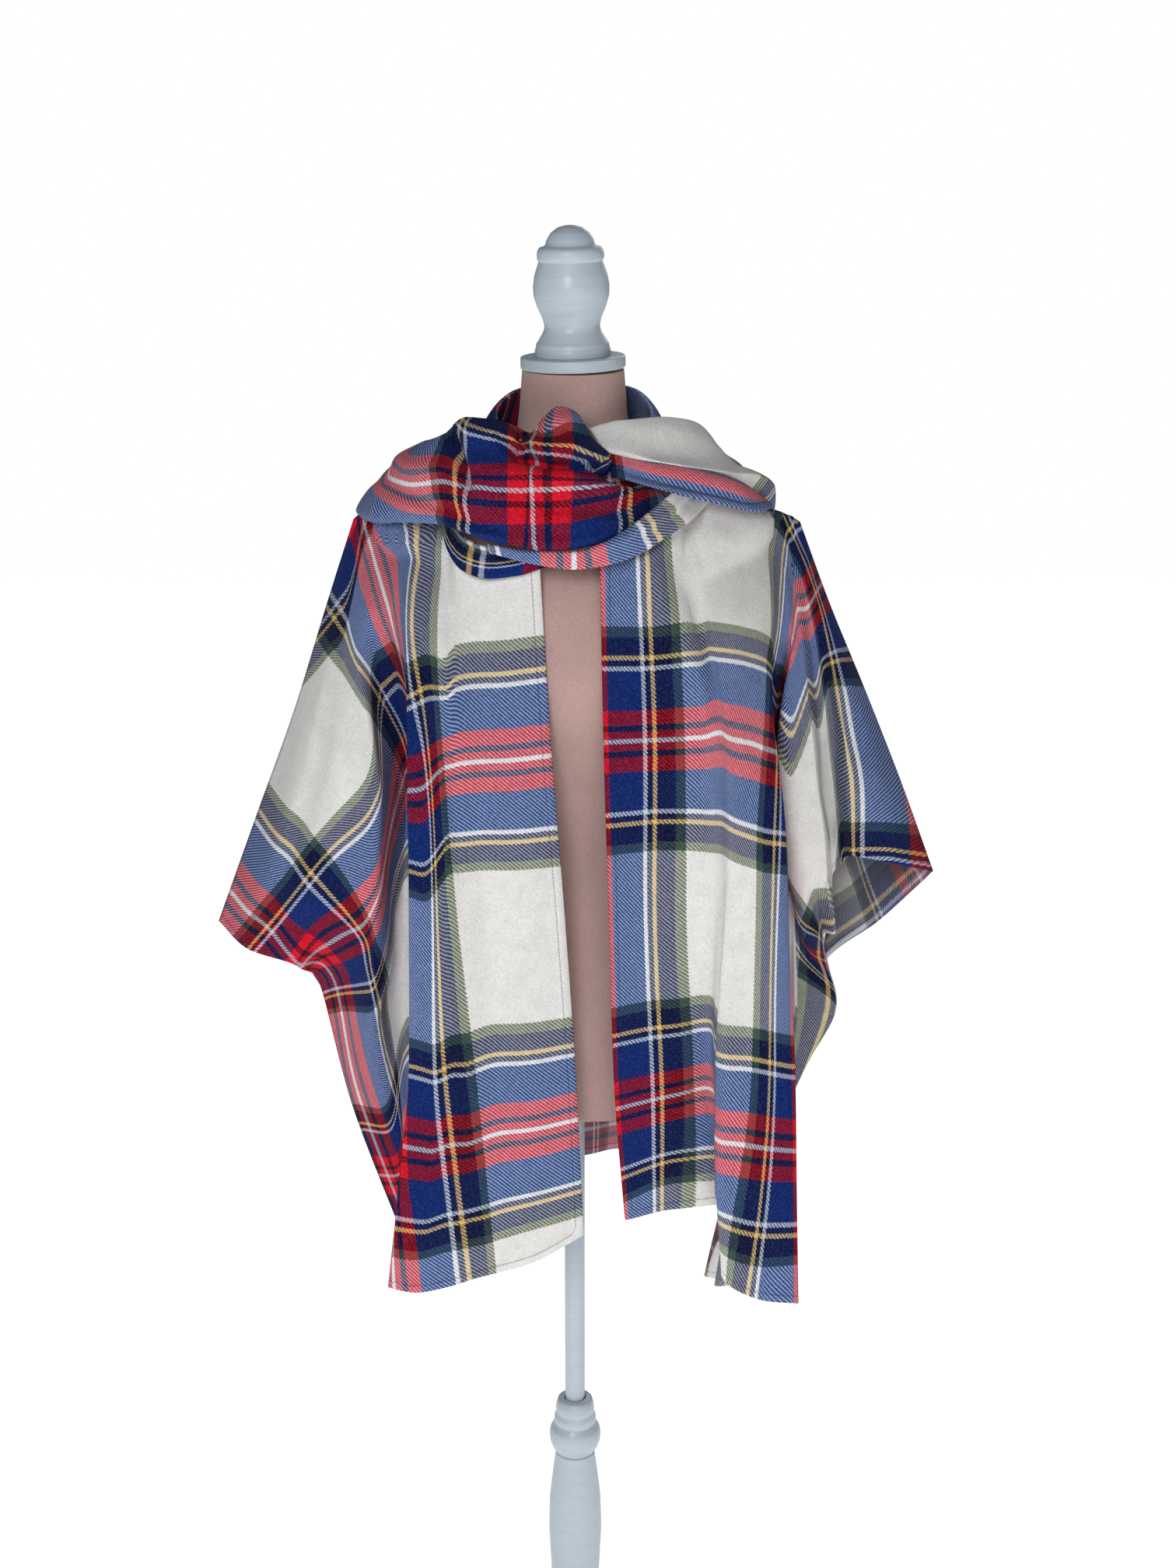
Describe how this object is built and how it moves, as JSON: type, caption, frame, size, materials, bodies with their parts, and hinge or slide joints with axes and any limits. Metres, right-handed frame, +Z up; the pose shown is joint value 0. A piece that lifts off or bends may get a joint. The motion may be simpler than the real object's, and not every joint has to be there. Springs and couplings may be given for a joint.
{
  "type": "tartan fleece poncho with attached scarf on a dress form stand",
  "caption": "Open-front tartan poncho with batwing sleeves and a long attached scarf wound round the neck, worn on a limbless dress form with a turned wood stand.",
  "frame": {"origin": "centre of the round base's underside, on the floor", "axes": "+Z up; the poncho's front faces -Y; the wearer's right is -X"},
  "size_m": [0.695, 0.38, 1.5972],
  "materials": {
    "tartan_fleece": "brushed fleece, tartan of cream, blue, navy, red and yellow",
    "scarf_fleece": "brushed fleece, the same tartan",
    "form_jersey": "matt beige jersey over the form",
    "white_paint": "turned wood, satin white paint"
  },
  "bodies": {
    "root": {"dress_form": "form_jersey", "neck_disc": "white_paint", "finial": "white_paint", "base": "white_paint", "leg": "white_paint", "ball_collar": "white_paint", "pole": "white_paint", "front_right": "tartan_fleece", "front_left": "tartan_fleece", "back": "tartan_fleece", "scarf_under": "scarf_fleece", "scarf_swathe": "scarf_fleece", "scarf_fall": "scarf_fleece", "scarf_collar": "scarf_fleece", "scarf_loop": "scarf_fleece", "scarf_band": "scarf_fleece"}
  },
  "joints": []
}
